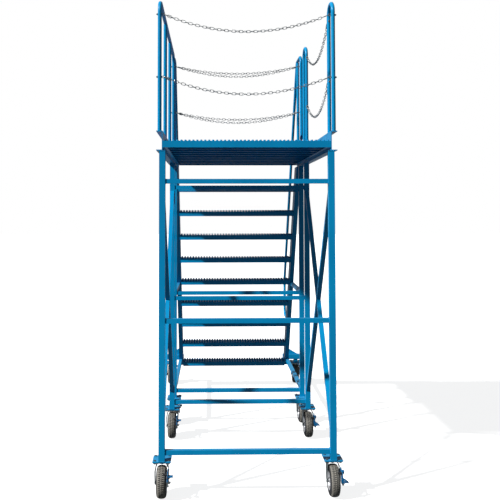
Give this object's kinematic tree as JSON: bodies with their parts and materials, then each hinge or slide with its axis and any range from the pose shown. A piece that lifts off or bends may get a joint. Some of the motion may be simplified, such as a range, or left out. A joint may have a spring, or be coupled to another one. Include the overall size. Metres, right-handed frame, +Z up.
{
  "type": "rolling scaffold stair platform",
  "caption": "Rolling steel work platform: ladder-type scaffold frames, braced sides, serrated deck, guardrails, chain gates and a rear stair on braked swivel casters.",
  "frame": {"origin": "on the floor at the middle of the stand's length, midway between its posts", "axes": "+Z up, +X to the right seen from the open front, +Y from the front frame to the stair foot"},
  "size_m": [1.859, 3.9074, 4.0968],
  "materials": {
    "blue_enamel": "cyan-blue gloss enamel on steel",
    "zinc_plate": "bright zinc plate, lightly dulled",
    "rim_silver": "silver painted pressed steel",
    "tyre_rubber": "dark rubber, dusty tread"
  },
  "bodies": {
    "stand": {"front_frame": "blue_enamel", "middle_frame": "blue_enamel", "rear_frame": "blue_enamel", "foot_plates": "blue_enamel", "side_channel_left": "blue_enamel", "side_channel_right": "blue_enamel", "deck_edge_plates": "blue_enamel", "deck_planks": "blue_enamel", "deck_ledges": "blue_enamel", "side_braces_left": "blue_enamel", "side_braces_right": "blue_enamel", "frame_bolts": "zinc_plate", "guardrail_left": "blue_enamel", "guardrail_front_right": "blue_enamel", "guardrail_rear_right": "blue_enamel", "stair_stringer_left": "blue_enamel", "stair_stringer_right": "blue_enamel", "stair_treads": "blue_enamel", "tread_bolts": "zinc_plate", "handrail_left": "blue_enamel", "handrail_right": "blue_enamel", "stair_tie_rails": "blue_enamel", "outrigger_bar": "blue_enamel", "caster_top_plates": "zinc_plate", "chains_front": "zinc_plate", "chains_side": "zinc_plate", "chains_rear": "zinc_plate", "chain_hardware": "zinc_plate"},
    "caster_front_left": {"fork_front_left": "zinc_plate"},
    "wheel_front_left": {"rim_front_left": "rim_silver", "tyre_front_left": "tyre_rubber"},
    "pedal_front_left": {"brake_front_left": "blue_enamel"},
    "caster_front_right": {"fork_front_right": "zinc_plate"},
    "wheel_front_right": {"rim_front_right": "rim_silver", "tyre_front_right": "tyre_rubber"},
    "pedal_front_right": {"brake_front_right": "blue_enamel"},
    "caster_middle_left": {"fork_middle_left": "zinc_plate"},
    "wheel_middle_left": {"rim_middle_left": "rim_silver", "tyre_middle_left": "tyre_rubber"},
    "pedal_middle_left": {"brake_middle_left": "blue_enamel"},
    "caster_middle_right": {"fork_middle_right": "zinc_plate"},
    "wheel_middle_right": {"rim_middle_right": "rim_silver", "tyre_middle_right": "tyre_rubber"},
    "pedal_middle_right": {"brake_middle_right": "blue_enamel"},
    "caster_rear_left": {"fork_rear_left": "zinc_plate"},
    "wheel_rear_left": {"rim_rear_left": "rim_silver", "tyre_rear_left": "tyre_rubber"},
    "pedal_rear_left": {"brake_rear_left": "blue_enamel"},
    "caster_rear_right": {"fork_rear_right": "zinc_plate"},
    "wheel_rear_right": {"rim_rear_right": "rim_silver", "tyre_rear_right": "tyre_rubber"},
    "pedal_rear_right": {"brake_rear_right": "blue_enamel"},
    "caster_stair_left": {"fork_stair_left": "zinc_plate"},
    "wheel_stair_left": {"rim_stair_left": "rim_silver", "tyre_stair_left": "tyre_rubber"},
    "pedal_stair_left": {"brake_stair_left": "blue_enamel"},
    "caster_stair_right": {"fork_stair_right": "zinc_plate"},
    "wheel_stair_right": {"rim_stair_right": "rim_silver", "tyre_stair_right": "tyre_rubber"},
    "pedal_stair_right": {"brake_stair_right": "blue_enamel"}
  },
  "joints": [
    {"name": "swivel_front_left", "type": "hinge", "parent": "stand", "child": "caster_front_left", "pos_m": [-0.6996, -1.77973, 0.26], "axis": [0, 0, 1], "continuous": true},
    {"name": "roll_front_left", "type": "hinge", "parent": "caster_front_left", "child": "wheel_front_left", "pos_m": [-0.6996, -1.82472, 0.127], "axis": [1, 0, 0], "continuous": true},
    {"name": "brake_front_left", "type": "hinge", "parent": "caster_front_left", "child": "pedal_front_left", "pos_m": [-0.6996, -1.84173, 0.228], "axis": [1, 0, 0], "range_deg": [0, 6]},
    {"name": "swivel_front_right", "type": "hinge", "parent": "stand", "child": "caster_front_right", "pos_m": [0.6996, -1.77973, 0.26], "axis": [0, 0, 1], "continuous": true},
    {"name": "roll_front_right", "type": "hinge", "parent": "caster_front_right", "child": "wheel_front_right", "pos_m": [0.6996, -1.82472, 0.127], "axis": [1, 0, 0], "continuous": true},
    {"name": "brake_front_right", "type": "hinge", "parent": "caster_front_right", "child": "pedal_front_right", "pos_m": [0.6996, -1.84173, 0.228], "axis": [1, 0, 0], "range_deg": [0, 6]},
    {"name": "swivel_middle_left", "type": "hinge", "parent": "stand", "child": "caster_middle_left", "pos_m": [-0.6996, -0.35973, 0.26], "axis": [0, 0, 1], "continuous": true},
    {"name": "roll_middle_left", "type": "hinge", "parent": "caster_middle_left", "child": "wheel_middle_left", "pos_m": [-0.6996, -0.40473, 0.127], "axis": [1, 0, 0], "continuous": true},
    {"name": "brake_middle_left", "type": "hinge", "parent": "caster_middle_left", "child": "pedal_middle_left", "pos_m": [-0.6996, -0.42173, 0.228], "axis": [1, 0, 0], "range_deg": [0, 6]},
    {"name": "swivel_middle_right", "type": "hinge", "parent": "stand", "child": "caster_middle_right", "pos_m": [0.6996, -0.35973, 0.26], "axis": [0, 0, 1], "continuous": true},
    {"name": "roll_middle_right", "type": "hinge", "parent": "caster_middle_right", "child": "wheel_middle_right", "pos_m": [0.6996, -0.40473, 0.127], "axis": [1, 0, 0], "continuous": true},
    {"name": "brake_middle_right", "type": "hinge", "parent": "caster_middle_right", "child": "pedal_middle_right", "pos_m": [0.6996, -0.42173, 0.228], "axis": [1, 0, 0], "range_deg": [0, 6]},
    {"name": "swivel_rear_left", "type": "hinge", "parent": "stand", "child": "caster_rear_left", "pos_m": [-0.6996, 0.02227, 0.26], "axis": [0, 0, 1], "continuous": true},
    {"name": "roll_rear_left", "type": "hinge", "parent": "caster_rear_left", "child": "wheel_rear_left", "pos_m": [-0.6996, 0.06728, 0.127], "axis": [1, 0, 0], "continuous": true},
    {"name": "brake_rear_left", "type": "hinge", "parent": "caster_rear_left", "child": "pedal_rear_left", "pos_m": [-0.6996, 0.08428, 0.228], "axis": [-1, 0, 0], "range_deg": [0, 6]},
    {"name": "swivel_rear_right", "type": "hinge", "parent": "stand", "child": "caster_rear_right", "pos_m": [0.6996, 0.02227, 0.26], "axis": [0, 0, 1], "continuous": true},
    {"name": "roll_rear_right", "type": "hinge", "parent": "caster_rear_right", "child": "wheel_rear_right", "pos_m": [0.6996, 0.06728, 0.127], "axis": [1, 0, 0], "continuous": true},
    {"name": "brake_rear_right", "type": "hinge", "parent": "caster_rear_right", "child": "pedal_rear_right", "pos_m": [0.6996, 0.08428, 0.228], "axis": [-1, 0, 0], "range_deg": [0, 6]},
    {"name": "swivel_stair_left", "type": "hinge", "parent": "stand", "child": "caster_stair_left", "pos_m": [-0.84, 1.70162, 0.26], "axis": [0, 0, 1], "continuous": true},
    {"name": "roll_stair_left", "type": "hinge", "parent": "caster_stair_left", "child": "wheel_stair_left", "pos_m": [-0.84, 1.74663, 0.127], "axis": [1, 0, 0], "continuous": true},
    {"name": "brake_stair_left", "type": "hinge", "parent": "caster_stair_left", "child": "pedal_stair_left", "pos_m": [-0.84, 1.76362, 0.228], "axis": [-1, 0, 0], "range_deg": [0, 6]},
    {"name": "swivel_stair_right", "type": "hinge", "parent": "stand", "child": "caster_stair_right", "pos_m": [0.84, 1.70162, 0.26], "axis": [0, 0, 1], "continuous": true},
    {"name": "roll_stair_right", "type": "hinge", "parent": "caster_stair_right", "child": "wheel_stair_right", "pos_m": [0.84, 1.74663, 0.127], "axis": [1, 0, 0], "continuous": true},
    {"name": "brake_stair_right", "type": "hinge", "parent": "caster_stair_right", "child": "pedal_stair_right", "pos_m": [0.84, 1.76362, 0.228], "axis": [-1, 0, 0], "range_deg": [0, 6]}
  ]
}
